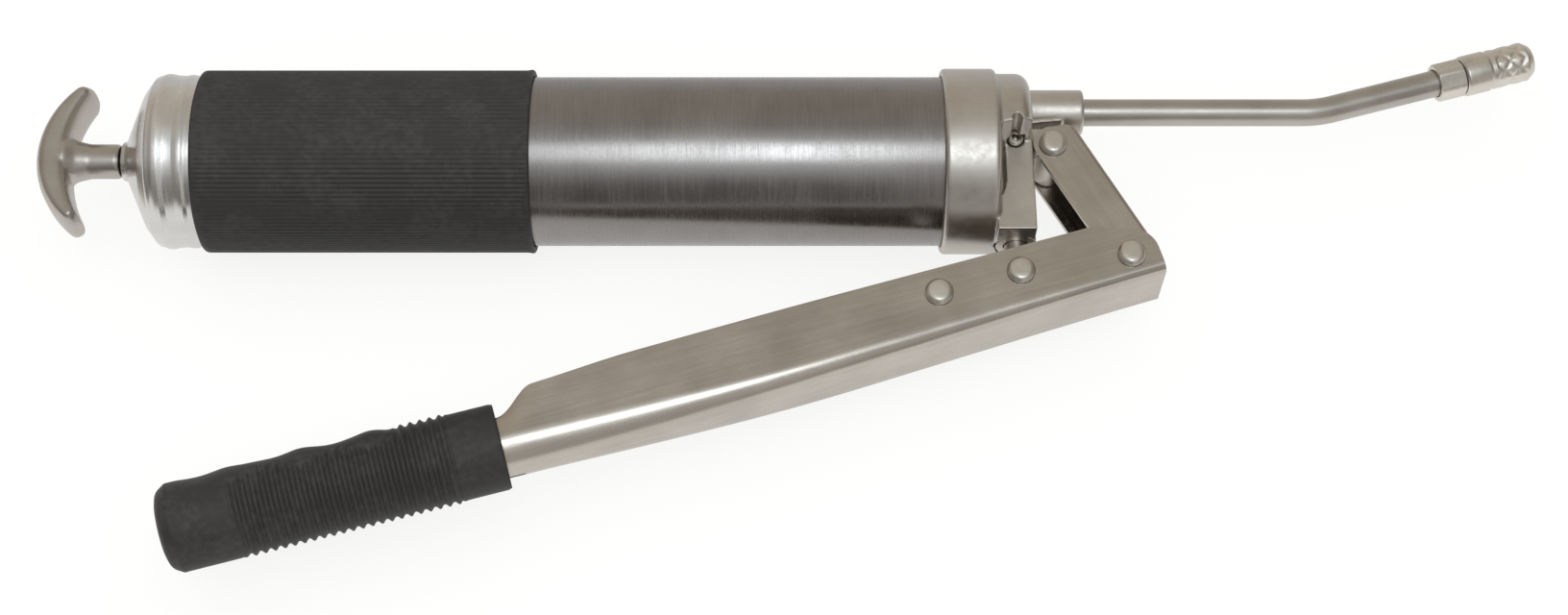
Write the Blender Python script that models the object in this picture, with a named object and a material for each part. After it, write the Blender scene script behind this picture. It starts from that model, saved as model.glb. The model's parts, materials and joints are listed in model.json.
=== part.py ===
"""Lever-action grease gun, lying on its side: one object for each physical piece.

X runs along the barrel towards the spout, Y runs in the lever's plane from the lever
towards the outlet, and Z is up. The origin is the middle of the tool's footprint on the
bench. Sizes and places below are millimetres from the pump centre, where the barrel's axis
crosses the pump bore; finish() scales each mesh to metres, and the "gun" empty carries the
pump centre.
"""

import math

import bmesh
import bpy
from mathutils import Matrix, Vector

MM = 0.001
GAP = 0.3  # clearance between neighbouring pieces
PUMP_CENTRE = (73.71, 50.19, 31.3)  # from the middle of the footprint

# Barrel and its sleeve
BARREL_R = 28.5
BARREL_WALL = 1.2
BARREL_REAR = -284.0
BARREL_FRONT = -11.0
NECK_R = 27.7  # the rear end is rolled down to take the cap's thread
NECK_END = -271.5
SLEEVE_R = 30.7
SLEEVE_REAR = -272.0
SLEEVE_FRONT = -161.0

# Rear cap, follower and T handle
CAP_WALL = 1.1
CAP_REAR = -300.0
ROD_R = 4.0
ROD_REAR = -313.0
ROD_FRONT = -13.5
PISTON_REAR = -43.0
PISTON_FRONT = -24.0
HANDLE_REAR = -328.2
HANDLE_OUTER_R = 31.0
HANDLE_INNER_R = 47.0
HANDLE_INNER_REAR = -318.2
HANDLE_HALF_SPAN = 25.6
HANDLE_HALF_WIDTH = 7.5
STEM_R = 6.0

# Head casting
RING_R = 31.3
RING_REAR = -24.4
RING_FRONT = -6.5
SOCKET_END = -9.0
DOME_R = 29.6
DOME_FRONT = 4.9
BORE_R = 4.3
BORE_TOP = 21.0
BOX_BOTTOM = -32.0
PAD_HALF_Z = 13.5
CORE_HALF_Z = 9.5
SEAL_R = 7.1
OUTLET_Y = 18.9
BOSS_R = 7.7
BOSS_FRONT = 24.6
LUG_HALF_Z = 8.4
BLEEDER = (0.0, 1.2)
CHANNEL = (-0.6, 1.5)  # groove in the dome that leads down to the bleeder
CHANNEL_R = 1.7
NECK_HALF_Z = 2.5  # the lug narrows to this under the outlet boss

# Toggle linkage: three pivots, and the spacer that holds the lever's cheeks apart
HEAD_PIVOT = Vector((12.9, 1.2))
LEVER_PIVOT = Vector((36.5, -41.0))
LEVER_ANGLE = math.radians(16.3)
PIN_OFFSET = 4.4  # plunger and spacer pins above the lever pivot, across the lever
SPACER_X = -64.8
PIN_R = 3.0
HOLE_R = 3.3
RIVET_HEAD_R = 4.7
RIVET_HEAD_H = 2.3
SHEET = 1.8
LINK_HALF_Z = 10.6
LINK_WEB = 10.2  # outer face of the link's web, from the line of its pins
LEVER_HALF_Z = 13.0
LEVER_TOP = 13.0
LEVER_WEB = -8.2
LEVER_END = 9.4
EYE_CLEARANCE = 0.95  # the plunger's eye is the pivot at which the linkage is opened

# Grip, in the lever's own frame
GRIP_FRONT = -214.0
GRIP_REAR = -324.8
GRIP_AXIS_FRONT = -2.7
GRIP_AXIS_REAR = -0.6
GRIP_R = 14.5
TAIL_R = 10.6
TAIL_TOP = 6.6  # top of the tail's cheeks above its axis
TAIL_END = -306.0

# Outlet
PIPE_R = 4.6
PIPE_BORE_R = 2.0
PIPE_REAR = 15.4
PIPE_BEND_X = 99.5
PIPE_BEND_R = 40.0
PIPE_BEND = math.radians(15.5)
PIPE_TAIL = 43.4  # straight length after the bend
COUPLER_R = 6.95
COUPLER_LENGTH = 34.6
COUPLER_OVERLAP = 6.0  # pipe thread inside the coupler's body

# Facets round a turned piece: large, ordinary and small
WIDE, ROUND, FINE = 40, 28, 16
# Facets round the head's features, finer than the rest
HEAD_WIDE, HEAD_BOSS, HEAD_BORE, HEAD_HOLE, HEAD_DRILL = 64, 40, 32, 24, 20

NICKEL = ((0.52, 0.49, 0.45), 0.32, 1.0)
CHROME = ((0.72, 0.72, 0.71), 0.14, 1.0)
BRUSHED = ((0.30, 0.28, 0.27), 0.38, 1.0)
CAST = ((0.45, 0.43, 0.40), 0.42, 1.0)
STEEL = ((0.60, 0.58, 0.55), 0.28, 1.0)
SPRING = ((0.35, 0.35, 0.36), 0.35, 1.0)
RUBBER = ((0.035, 0.034, 0.033), 0.62, 0.0)
SEAL = ((0.05, 0.045, 0.04), 0.55, 0.0)


def clear_scene():
    for obj in list(bpy.data.objects):
        bpy.data.objects.remove(obj, do_unlink=True)


def material(name, look):
    """A Principled material from (colour, roughness, metallic)."""
    made = bpy.data.materials.get(name) or bpy.data.materials.new(name)
    made.use_nodes = True
    colour, roughness, metallic = look
    shader = made.node_tree.nodes["Principled BSDF"]
    shader.inputs["Base Color"].default_value = (*colour, 1.0)
    shader.inputs["Roughness"].default_value = roughness
    shader.inputs["Metallic"].default_value = metallic
    made.diffuse_color = (*colour, 1.0)
    return made


def pivot(name, place, angle=0.0, parent=None):
    """An empty on a joint's axis, turned about Z."""
    empty = bpy.data.objects.new(name, None)
    bpy.context.scene.collection.objects.link(empty)
    empty.location = Vector(place) * MM
    empty.rotation_euler = (0.0, 0.0, angle)
    empty.parent = parent
    return empty


def finish(bm, name, look, parent=None, origin=(0, 0, 0), sharp=40):
    """Scales a mesh to metres and makes it an object of its own, shaded smooth."""
    bmesh.ops.remove_doubles(bm, verts=bm.verts, dist=1e-3)
    loose = [edge for edge in bm.edges if not edge.link_faces]
    bmesh.ops.delete(bm, geom=loose, context="EDGES")
    bmesh.ops.recalc_face_normals(bm, faces=bm.faces)
    bm.transform(Matrix.Scale(MM, 4) @ Matrix.Translation(-Vector(origin)))
    mesh = bpy.data.meshes.new(name)
    bm.to_mesh(mesh)
    bm.free()
    mesh.shade_smooth()
    mesh.set_sharp_from_angle(angle=math.radians(sharp))
    mesh.materials.append(material(name, look))
    obj = bpy.data.objects.new(name, mesh)
    bpy.context.scene.collection.objects.link(obj)
    obj.location = Vector(origin) * MM
    obj.parent = parent or bpy.data.objects["gun"]
    return obj


def combine(target, other, operation, solver):
    """A Boolean of one hidden helper with the target."""
    other.hide_render = True
    other.display_type = "WIRE"
    modifier = target.modifiers.new(other.name, "BOOLEAN")
    modifier.operation = operation
    modifier.object = other
    modifier.solver = solver


def cut(target, *others, solver="EXACT"):
    for other in others:
        combine(target, other, "DIFFERENCE", solver)


def join(target, *others, solver="EXACT"):
    for other in others:
        combine(target, other, "UNION", solver)


def turned(profile, steps=ROUND, matrix=None):
    """A closed profile of (x, radius) points turned about X, then placed by a matrix."""
    bm = bmesh.new()
    verts = [bm.verts.new((x, 0.0, radius)) for x, radius in profile]
    edges = [bm.edges.new((a, b)) for a, b in zip(verts, verts[1:] + verts[:1])]
    bmesh.ops.spin(
        bm,
        geom=verts + edges,
        cent=(0, 0, 0),
        axis=(1, 0, 0),
        angle=2 * math.pi,
        steps=steps,
    )
    bmesh.ops.remove_doubles(bm, verts=bm.verts, dist=1e-3)
    if matrix:
        bm.transform(matrix)
    return bm


def tube(x0, x1, outer, inner=0.0, steps=ROUND, matrix=None):
    return turned([(x0, inner), (x0, outer), (x1, outer), (x1, inner)], steps, matrix)


def prism(outline, z0, z1, bevel=0.0, segments=2):
    """An outline in the XY plane raised from z0 to z1, with its rim edges bevelled."""
    bm = bmesh.new()
    face = bm.faces.new([bm.verts.new((x, y, z0)) for x, y in outline])
    raised = bmesh.ops.extrude_face_region(bm, geom=[face])["geom"]
    top = [item for item in raised if isinstance(item, bmesh.types.BMVert)]
    bmesh.ops.translate(bm, verts=top, vec=(0, 0, z1 - z0))
    bmesh.ops.recalc_face_normals(bm, faces=bm.faces)
    if bevel:
        rims = [
            edge
            for edge in bm.edges
            if abs(edge.verts[0].co.z - edge.verts[1].co.z) < 1e-6
        ]
        bmesh.ops.bevel(
            bm, geom=rims, offset=bevel, segments=segments, affect="EDGES", profile=0.5
        )
    return bm


def block(low, high):
    return prism(
        [(low[0], low[1]), (high[0], low[1]), (high[0], high[1]), (low[0], high[1])],
        low[2],
        high[2],
    )


def arc(centre, radius, start, end, count):
    """Points of an arc, angles in degrees."""
    cx, cy = centre
    angles = [math.radians(start + (end - start) * i / count) for i in range(count + 1)]
    return [(cx + radius * math.cos(a), cy + radius * math.sin(a)) for a in angles]


def skin(rings):
    """Bridges rings of points, each a closed loop, and caps the two ends."""
    bm = bmesh.new()
    loops = [[bm.verts.new(point) for point in ring] for ring in rings]
    for first, second in zip(loops, loops[1:]):
        count = len(first)
        for i in range(count):
            j = (i + 1) % count
            bm.faces.new((first[i], first[j], second[j], second[i]))
    bm.faces.new(reversed(loops[0]))
    bm.faces.new(loops[-1])
    return bm


def coil(radius, wire, length, turns, matrix, per_turn=8, sides=4):
    """A helical spring along X from the origin, its end turns closed up."""
    steps = int(turns * per_turn)
    rings = []
    for i in range(steps + 1):
        share = i / steps
        angle = 2 * math.pi * turns * share
        ease = 0.5 - 0.5 * math.cos(math.pi * share)
        x = wire + (length - 2 * wire) * (0.75 * share + 0.25 * ease)
        out = Vector((0, math.cos(angle), math.sin(angle)))
        centre = Vector((x, 0, 0)) + out * radius
        ring = []
        for k in range(sides):
            turn = 2 * math.pi * k / sides
            offset = out * math.cos(turn) + Vector((1, 0, 0)) * math.sin(turn)
            ring.append(centre + offset * wire)
        rings.append(ring)
    bm = skin(rings)
    bm.transform(matrix)
    return bm


ALONG_Y = Matrix.Rotation(math.radians(90), 4, "Z")
ALONG_Z = Matrix.Rotation(math.radians(-90), 4, "Y")


def at(x, y=0.0, z=0.0):
    return Matrix.Translation((x, y, z))


# ------------------------------------------------------------------ barrel and follower


def barrel_tube():
    bore = BARREL_R - BARREL_WALL
    neck_bore = NECK_R - BARREL_WALL
    profile = [
        (BARREL_REAR, neck_bore),
        (BARREL_REAR, NECK_R),
        (NECK_END, NECK_R),
        (NECK_END + 1.5, BARREL_R),
        (BARREL_FRONT, BARREL_R),
        (BARREL_FRONT, bore),
        (NECK_END + 1.5, bore),
        (NECK_END, neck_bore),
    ]
    finish(turned(profile, WIDE), "barrel_tube", BRUSHED)


def barrel_sleeve():
    inner = BARREL_R + GAP
    lip = SLEEVE_R + 0.5
    profile = [
        (SLEEVE_REAR, inner),
        (SLEEVE_REAR, SLEEVE_R - 0.6),
        (SLEEVE_REAR + 0.8, SLEEVE_R),
        (SLEEVE_FRONT - 3.0, SLEEVE_R),
        (SLEEVE_FRONT, lip),
        (SLEEVE_FRONT, inner),
    ]
    finish(turned(profile, WIDE), "barrel_sleeve", RUBBER)


def rear_cap():
    """A spun bell: a collar for the rod, a cone, a shoulder bead and a screwed neck."""
    outside = [
        (CAP_REAR, 6.6),
        (CAP_REAR + 1.6, 7.4),
        (-297.6, 9.4),
        (-295.6, 13.6),
        (-293.6, 17.6),
        (-291.6, 22.4),
        (-289.6, 26.4),
        (-287.6, 28.6),
        (-285.4, 29.7),
        (-283.0, 29.6),
        (-281.2, 29.1),
        (SLEEVE_REAR - GAP, 29.1),
    ]
    inside = [(SLEEVE_REAR - GAP, NECK_R + GAP), (-284.6, NECK_R + GAP)]
    inside += [(x + CAP_WALL, r - CAP_WALL) for x, r in reversed(outside[3:8])]
    inside += [(-296.2, 7.4), (-296.2, 6.0), (CAP_REAR, 6.0)]
    finish(turned(outside + inside, WIDE), "rear_cap", CHROME)


def rod_gland():
    """The bush in the cap's collar that wipes the follower rod."""
    profile = [
        (CAP_REAR, ROD_R + 0.25),
        (CAP_REAR, 5.7),
        (-295.4, 5.7),
        (-295.4, 8.4),
        (-293.9, 8.4),
        (-293.9, ROD_R + 0.25),
    ]
    finish(turned(profile, 20), "rod_gland", SEAL)


def follower_rod():
    finish(tube(ROD_REAR, ROD_FRONT, ROD_R, 0, 20), "follower_rod", STEEL)


def pull_handle():
    outer_centre = (HANDLE_REAR + HANDLE_OUTER_R, 0)
    inner_centre = (HANDLE_INNER_REAR + HANDLE_INNER_R, 0)
    outer_turn = math.degrees(math.asin(HANDLE_HALF_SPAN / HANDLE_OUTER_R))
    inner_turn = math.degrees(math.asin(HANDLE_HALF_SPAN / HANDLE_INNER_R))
    outline = arc(outer_centre, HANDLE_OUTER_R, 180 - outer_turn, 180 + outer_turn, 12)
    outline += arc(inner_centre, HANDLE_INNER_R, 180 + inner_turn, 180 - inner_turn, 8)
    bar = prism(outline, -HANDLE_HALF_WIDTH, HANDLE_HALF_WIDTH, 1.6, 1)
    stem_end = CAP_REAR - 1.0
    handle = finish(bar, "pull_handle", NICKEL)
    stem_profile = [
        (HANDLE_REAR + 4, 0),
        (HANDLE_REAR + 4, 6.8),
        (HANDLE_INNER_REAR, 8.6),
        (HANDLE_INNER_REAR + 2.2, 7.0),
        (HANDLE_INNER_REAR + 4.5, STEM_R),
        (stem_end, STEM_R),
        (stem_end, 0),
    ]
    socket = tube(ROD_REAR - GAP, stem_end + 5, ROD_R + GAP, 0, 20)
    join(handle, finish(turned(stem_profile, 24), "cut_stem", NICKEL))
    cut(handle, finish(socket, "cut_rod_socket", NICKEL))


def follower():
    """The rubber cup that pushes the grease, clamped between two discs by the rod's nut."""
    bore = ROD_R + GAP
    wall = BARREL_R - BARREL_WALL - GAP
    cup = [
        (PISTON_REAR, bore),
        (PISTON_REAR, wall - 0.6),
        (PISTON_REAR + 1.5, wall),
        (PISTON_FRONT - 1.5, wall),
        (PISTON_FRONT, wall - 0.6),
        (PISTON_FRONT, wall - 3.5),
        (PISTON_REAR + 5.0, wall - 4.5),
        (PISTON_REAR + 5.0, bore),
    ]
    finish(turned(cup, WIDE), "follower_cup", SEAL)
    rear = tube(PISTON_REAR - GAP - 1.6, PISTON_REAR - GAP, 21.0, bore)
    finish(rear, "follower_rear_disc", STEEL)
    front_x = PISTON_REAR + 5.0 + GAP
    finish(tube(front_x, front_x + 1.6, 20.0, bore), "follower_front_disc", STEEL)
    nut_x = front_x + 1.6 + GAP
    nut = finish(tube(nut_x, nut_x + 6.0, 7.2, 0, 6), "follower_nut", STEEL, sharp=20)
    thread = tube(nut_x - 2, nut_x + 8, ROD_R + 0.2, 0, FINE)
    cut(nut, finish(thread, "cut_nut_thread", STEEL))


def follower_spring():
    start = -283.5
    end = PISTON_REAR - GAP - 1.6 - GAP
    bm = coil(16.0, 1.1, end - start, 11, at(start))
    finish(bm, "follower_spring", SPRING)


# ------------------------------------------------------------------ head


def head_casting():
    """Ring, half dome, pump box, outlet boss and pivot lug, with their bores."""
    ring = [
        (RING_REAR, 0),
        (RING_REAR, RING_R - 0.5),
        (RING_REAR + 0.5, RING_R),
        (RING_FRONT - 2.0, RING_R),
        (RING_FRONT, RING_R - 1.2),
        (RING_FRONT, 0),
    ]
    head = finish(turned(ring, HEAD_WIDE), "head_casting", CAST)
    rounding = [
        (DOME_FRONT - 4.0 * (1 - math.sin(a)), DOME_R - 4.0 * (1 - math.cos(a)))
        for a in (math.radians(i * 22.5) for i in range(5))
    ]
    dome = [(RING_FRONT - 3, 0), (RING_FRONT - 3, DOME_R)] + rounding + [(DOME_FRONT, 0)]
    dome_half = finish(turned(dome, HEAD_WIDE), "cut_dome", CAST)
    below_outline = [(-6.2, -40.0), (20.0, -40.0), (20.0, 4.5), (-6.2, -1.0)]
    below = prism(below_outline, -40, 40)
    channel = tube(12, 40, CHANNEL_R, 0, HEAD_DRILL, at(*CHANNEL) @ ALONG_Z)
    core = block((RING_FRONT - 1, BOX_BOTTOM + 2, -CORE_HALF_Z), (4.0, 4.0, CORE_HALF_Z))
    pad_outline = [(-3.6, 6.5), (-3.6, -13.0)]
    pad_outline += arc((-16.6, -13.0), 13.0, 0, -39, 4)[1:]
    pad_outline += [(RING_FRONT - 0.5, BOX_BOTTOM), (6.0, BOX_BOTTOM), (5.7, 6.5)]
    pad = prism(pad_outline, -PAD_HALF_Z, PAD_HALF_Z)
    boss = [
        (0, 0),
        (0, BOSS_R),
        (BOSS_FRONT - 0.8, BOSS_R),
        (BOSS_FRONT, BOSS_R - 0.8),
        (BOSS_FRONT, 0),
    ]
    lug_outline = arc(HEAD_PIVOT, 6.4, -150, 0, 8)
    lug_outline += [(17.0, 5.0), (17.0, 12.9), (2.0, 11.4), (2.0, -9)]
    lug = prism(lug_outline, -LUG_HALF_Z, LUG_HALF_Z)
    recess = [(6.2, 8.0), (20.0, 8.0), (20.0, 11.6), (6.2, 10.2)]
    # EXACT leaves open edges where these shapes' flat faces cross, so the head is MANIFOLD.
    cut(
        dome_half,
        finish(below, "cut_below", CAST),
        finish(channel, "cut_channel", CAST),
        solver="MANIFOLD",
    )
    join(
        head,
        dome_half,
        finish(core, "cut_core", CAST),
        finish(pad, "cut_pad", CAST),
        finish(turned(boss, HEAD_BOSS, at(0, OUTLET_Y)), "cut_boss", CAST),
        finish(lug, "cut_lug", CAST),
        solver="MANIFOLD",
    )
    seal_end = BOX_BOTTOM + 6.2
    outlet = at(0, OUTLET_Y)
    bleed = at(*BLEEDER) @ ALONG_Z
    bores = {
        "near_recess": prism(recess, NECK_HALF_Z, 20),
        "far_recess": prism(recess, -20, -NECK_HALF_Z),
        "pin": tube(-20, 20, HOLE_R, 0, HEAD_HOLE, at(*HEAD_PIVOT) @ ALONG_Z),
        "socket": tube(RING_REAR - 5, SOCKET_END, BARREL_R + GAP, 0, HEAD_WIDE),
        "pump": tube(BOX_BOTTOM - 5, BORE_TOP, BORE_R, 0, HEAD_BORE, ALONG_Y),
        "seal_seat": tube(BOX_BOTTOM - 5, seal_end, SEAL_R, 0, HEAD_BORE, ALONG_Y),
        "feed": tube(SOCKET_END - 2, 0, 2.2, 0, HEAD_DRILL, at(0, -8)),
        "seat": tube(0, 8, 1.8, 0, HEAD_DRILL, outlet),
        "chamber": tube(6, BOSS_FRONT + 5, 3.5, 0, HEAD_HOLE, outlet),
        "thread": tube(PIPE_REAR - GAP, BOSS_FRONT + 5, PIPE_R + GAP, 0, HEAD_HOLE, outlet),
        "bleeder": tube(8.0, 17.5, 2.9, 0, HEAD_DRILL, bleed),
        "bleed_port": tube(0, 9, 0.9, 0, HEAD_DRILL, bleed),
    }
    for name, bore in bores.items():
        cut(head, finish(bore, "cut_" + name, CAST), solver="MANIFOLD")


def head_gasket():
    x0 = SOCKET_END - GAP - 1.2
    finish(tube(x0, SOCKET_END - GAP, 28.3, 23.2, WIDE), "head_gasket", SEAL)


def plunger_packing():
    low = BOX_BOTTOM + 1.7
    ring = tube(low, low + 4.1, SEAL_R - GAP, ROD_R + GAP, 20, ALONG_Y)
    finish(ring, "plunger_packing", SEAL)
    washer = tube(
        BOX_BOTTOM + 0.2, BOX_BOTTOM + 1.4, SEAL_R - GAP, ROD_R + 0.4, 20, ALONG_Y
    )
    finish(washer, "packing_retainer", STEEL)


def bleeder():
    """The air bleeder: a bush in the pad, a ball that a fingernail presses, and its spring."""
    place = at(*BLEEDER) @ ALONG_Z
    bush = [
        (8.3, 1.7),
        (8.3, 2.6),
        (14.9, 2.6),
        (15.4, 2.2),
        (15.4, 1.2),
        (14.6, 1.2),
        (13.8, 1.9),
        (13.8, 1.95),
        (9.2, 1.95),
        (9.2, 1.7),
    ]
    finish(turned(bush, FINE, place), "bleeder_bush", STEEL)
    ball = [
        (13.0 + 1.5 * math.sin(a), 1.5 * math.cos(a))
        for a in (math.radians(-90 + 22.5 * i) for i in range(9))
    ]
    ball[0] = (11.5, 0)
    ball[-1] = (14.5, 0)
    finish(turned(ball, 10, place), "bleeder_ball", STEEL, None, (*BLEEDER, 13.0))
    spring = coil(1.1, 0.22, 2.0, 3, place @ at(9.4))
    finish(spring, "bleeder_spring", SPRING)


def check_valve():
    """The outlet's ball and its spring, held in by the pipe."""
    centre = 6.0 + GAP + 2.6
    ball = [
        (centre + 2.6 * math.sin(a), 2.6 * math.cos(a))
        for a in (math.radians(-90 + 18 * i) for i in range(11))
    ]
    ball[0] = (centre - 2.6, 0)
    ball[-1] = (centre + 2.6, 0)
    middle = (centre, OUTLET_Y, 0)
    finish(turned(ball, 14, at(0, OUTLET_Y)), "check_ball", STEEL, None, middle)
    start = centre + 2.6 + 0.1
    spring = coil(2.4, 0.3, PIPE_REAR - GAP - start, 4, at(start, OUTLET_Y))
    finish(spring, "check_spring", SPRING)


# ------------------------------------------------------------------ toggle linkage


def plunger_pin_x():
    """Where the plunger's pin sits along the lever, so that it lies on the pump axis."""
    side = PIN_OFFSET * math.sin(LEVER_ANGLE) - LEVER_PIVOT.x
    return side / math.cos(LEVER_ANGLE)


def plunger_pin():
    turn = Matrix.Rotation(LEVER_ANGLE, 2)
    return LEVER_PIVOT + turn @ Vector((plunger_pin_x(), PIN_OFFSET))


def pump_plunger():
    """A ground pin with a flat eye, whose hole is wide enough for the lever's arc."""
    pin = plunger_pin()
    eye_r = 6.3
    body = [
        (pin.y + 3, 0),
        (pin.y + 3, ROD_R),
        (7.4, ROD_R),
        (8.0, ROD_R - 0.6),
        (8.0, 0),
    ]
    shaft = finish(turned(body, 20, ALONG_Y), "pump_plunger", STEEL)
    outline = arc((0, pin.y), eye_r, 30, -210, 12)
    outline += [(-ROD_R, pin.y + 7.5), (ROD_R, pin.y + 7.5)]
    eye = finish(prism(outline, -3.9, 3.9, 0.5, 1), "cut_eye", STEEL)
    hole = tube(-8, 8, PIN_R + EYE_CLEARANCE, 0, 24, at(0, pin.y) @ ALONG_Z)
    join(shaft, eye)
    cut(shaft, finish(hole, "cut_eye_hole", STEEL))


def toggle_link(parent):
    """A folded strap: two cheeks joined by a web along the outer edge, in its own frame."""
    length = (LEVER_PIVOT - HEAD_PIVOT).length
    outline = arc((0, 0), 6.6, 265, 150, 8)
    outline += [(-4.2, 7.8), (-1.0, LINK_WEB), (length + 0.6, LINK_WEB)]
    outline += arc((length, 0), 6.1, 20, -90, 7)
    solid = prism(outline, -LINK_HALF_Z, LINK_HALF_Z)
    link = finish(solid, "toggle_link", NICKEL, parent)
    inside = block((-20, -20, SHEET - LINK_HALF_Z), (80, LINK_WEB - SHEET, LINK_HALF_Z - SHEET))
    cut(link, finish(inside, "cut_link_inside", NICKEL, parent))
    for name, x in (("cut_link_top", 0), ("cut_link_foot", length)):
        hole = tube(-20, 20, HOLE_R, 0, FINE, at(x) @ ALONG_Z)
        cut(link, finish(hole, name, NICKEL, parent))


def rivet(name, x, y, half, parent=None):
    """A shank with a domed head formed on each end, beyond a stack this thick each way."""
    face = half + 0.25
    dome = [
        (face + RIVET_HEAD_H * math.sin(a), RIVET_HEAD_R * math.cos(a))
        for a in (math.radians(22.5 * i) for i in range(4))
    ]
    dome.append((face + RIVET_HEAD_H, 0))
    profile = [(-px, r) for px, r in reversed(dome)]
    profile += [(-face, PIN_R), (face, PIN_R)] + dome
    bm = turned(profile, FINE, at(x, y) @ ALONG_Z)
    finish(bm, name, STEEL, parent)


def smooth_step(value, low, high):
    share = min(max((value - low) / (high - low), 0.0), 1.0)
    return share * share * (3 - 2 * share)


def mix(a, b, share):
    return a + (b - a) * share


def grip_axis(x):
    share = (x - GRIP_FRONT) / (GRIP_REAR - GRIP_FRONT)
    return mix(GRIP_AXIS_FRONT, GRIP_AXIS_REAR, share)


def cheek_top(x):
    """Height of the lever's cheeks: rounded at the pivot, dropping in an S at the grip."""
    if x > 0:
        return math.sqrt(max(LEVER_END**2 - x**2, 0.01))
    if x > -10:
        return mix(LEVER_END, LEVER_TOP, smooth_step(-x, 0, 10))
    shoulder = LEVER_TOP - 1.6 * smooth_step(-x, 165, 205)
    return mix(shoulder, grip_axis(x) + TAIL_TOP, smooth_step(-x, 200, 213.5))


def lever_section(x):
    """One cross-section of the pressed lever: a channel that closes into a round tail."""
    tail = smooth_step(-x, 95, 208)
    half = mix(LEVER_HALF_Z, TAIL_R, tail)
    web = mix(LEVER_WEB, grip_axis(x) - TAIL_R, smooth_step(-x, -20, 196))
    corner = mix(2.8, TAIL_R, tail)
    top = cheek_top(x)
    top_half = mix(half, 8.4, smooth_step(-x, 198, 214))
    side = [(half, min(top, web + corner + 4 * tail)), (half, web + corner)]
    if top - side[0][1] > 0.5:
        side.insert(0, (top_half, top))
    else:
        side[0] = (half, web + corner + 0.4)
        side.insert(0, (half, web + corner + 0.8))
    bend = arc((half - corner, web + corner), corner, 0, -90, 5)[1:]
    right = side + bend
    left = [(-z, y) for z, y in reversed(right)]
    return [(x, y, z) for z, y in right + left]


def lever_arm(parent):
    ends = [LEVER_END * math.sin(math.radians(a)) for a in (84, 72, 56, 38, 18)]
    stations = ends + [0, -4, -10, -35, -65, -95, -115, -135, -155, -175, -190]
    stations += [-198, -201, -203, -205, -207, -209, -211, -213.5, -220, -270, TAIL_END]
    bm = bmesh.new()
    rows = [[bm.verts.new(point) for point in lever_section(x)] for x in stations]
    for first, second in zip(rows, rows[1:]):
        for i in range(len(first) - 1):
            bm.faces.new((first[i], first[i + 1], second[i + 1], second[i]))
    bmesh.ops.recalc_face_normals(bm, faces=bm.faces)
    lever = finish(bm, "lever_arm", NICKEL, parent)
    sheet = lever.modifiers.new("sheet", "SOLIDIFY")
    sheet.thickness = SHEET * MM
    sheet.offset = -1.0
    sheet.use_even_offset = True
    holes = (
        ("cut_lever_end", 0, 0),
        ("cut_lever_pin", plunger_pin_x(), PIN_OFFSET),
        ("cut_lever_spacer", SPACER_X, PIN_OFFSET),
    )
    for name, x, y in holes:
        hole = tube(-20, 20, HOLE_R, 0, FINE, at(x, y) @ ALONG_Z)
        cut(lever, finish(hole, name, NICKEL, parent))


def lever_grip(parent):
    """A moulded grip pushed over the lever's tail, closed at its outer end."""
    length = GRIP_FRONT - GRIP_REAR
    tilt = math.atan2(GRIP_AXIS_FRONT - GRIP_AXIS_REAR, length)
    place = at(GRIP_REAR, GRIP_AXIS_REAR) @ Matrix.Rotation(tilt, 4, "Z")
    bore = 13.0
    profile = [
        (0, 0),
        (0, GRIP_R - 4.5),
        (1.2, GRIP_R - 1.4),
        (4.5, GRIP_R),
        (length - 15, GRIP_R),
        (length - 14, GRIP_R - 0.4),
        (length, GRIP_R - 0.4),
        (length, bore - 1.4),
        (length - 3, bore - 0.6),
        (length - 6, bore - 0.2),
        (15.5, bore - 0.2),
        (15.5, 0),
    ]
    finish(turned(profile, ROUND, place), "lever_grip", RUBBER, parent)


def spacer_tube(parent):
    half = LEVER_HALF_Z - SHEET - GAP
    bm = tube(-half, half, 4.6, HOLE_R, FINE, at(SPACER_X, PIN_OFFSET) @ ALONG_Z)
    finish(bm, "spacer_tube", STEEL, parent)


# ------------------------------------------------------------------ outlet


def bend_centre():
    return Vector((PIPE_BEND_X, OUTLET_Y + PIPE_BEND_R, 0))


def pipe_end():
    """The frame at the pipe's far end, X along it."""
    centre = bend_centre()
    turn = Matrix.Rotation(PIPE_BEND, 4, "Z")
    bend_end = centre + turn @ Vector((0, -PIPE_BEND_R, 0))
    along = turn @ Vector((1, 0, 0))
    return Matrix.Translation(bend_end + along * PIPE_TAIL) @ turn


def pipe_skin(radius, start, overrun):
    """A round bar that follows the pipe's centre line."""
    frames = [at(start, OUTLET_Y), at(PIPE_BEND_X, OUTLET_Y)]
    centre = bend_centre()
    for i in range(1, 9):
        turn = Matrix.Rotation(PIPE_BEND * i / 8, 4, "Z")
        frames.append(Matrix.Translation(centre) @ turn @ at(0, -PIPE_BEND_R))
    frames.append(pipe_end() @ at(overrun))
    sides = 16
    rings = []
    for frame in frames:
        ring = []
        for k in range(sides):
            angle = 2 * math.pi * k / sides
            ring.append(frame @ Vector((0, radius * math.cos(angle), radius * math.sin(angle))))
        rings.append(ring)
    return skin(rings)


def extension_pipe():
    pipe = finish(pipe_skin(PIPE_R, PIPE_REAR, 0), "extension_pipe", NICKEL)
    bore = pipe_skin(PIPE_BORE_R, PIPE_REAR - 3, 3)
    cut(pipe, finish(bore, "cut_pipe_bore", NICKEL))


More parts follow.
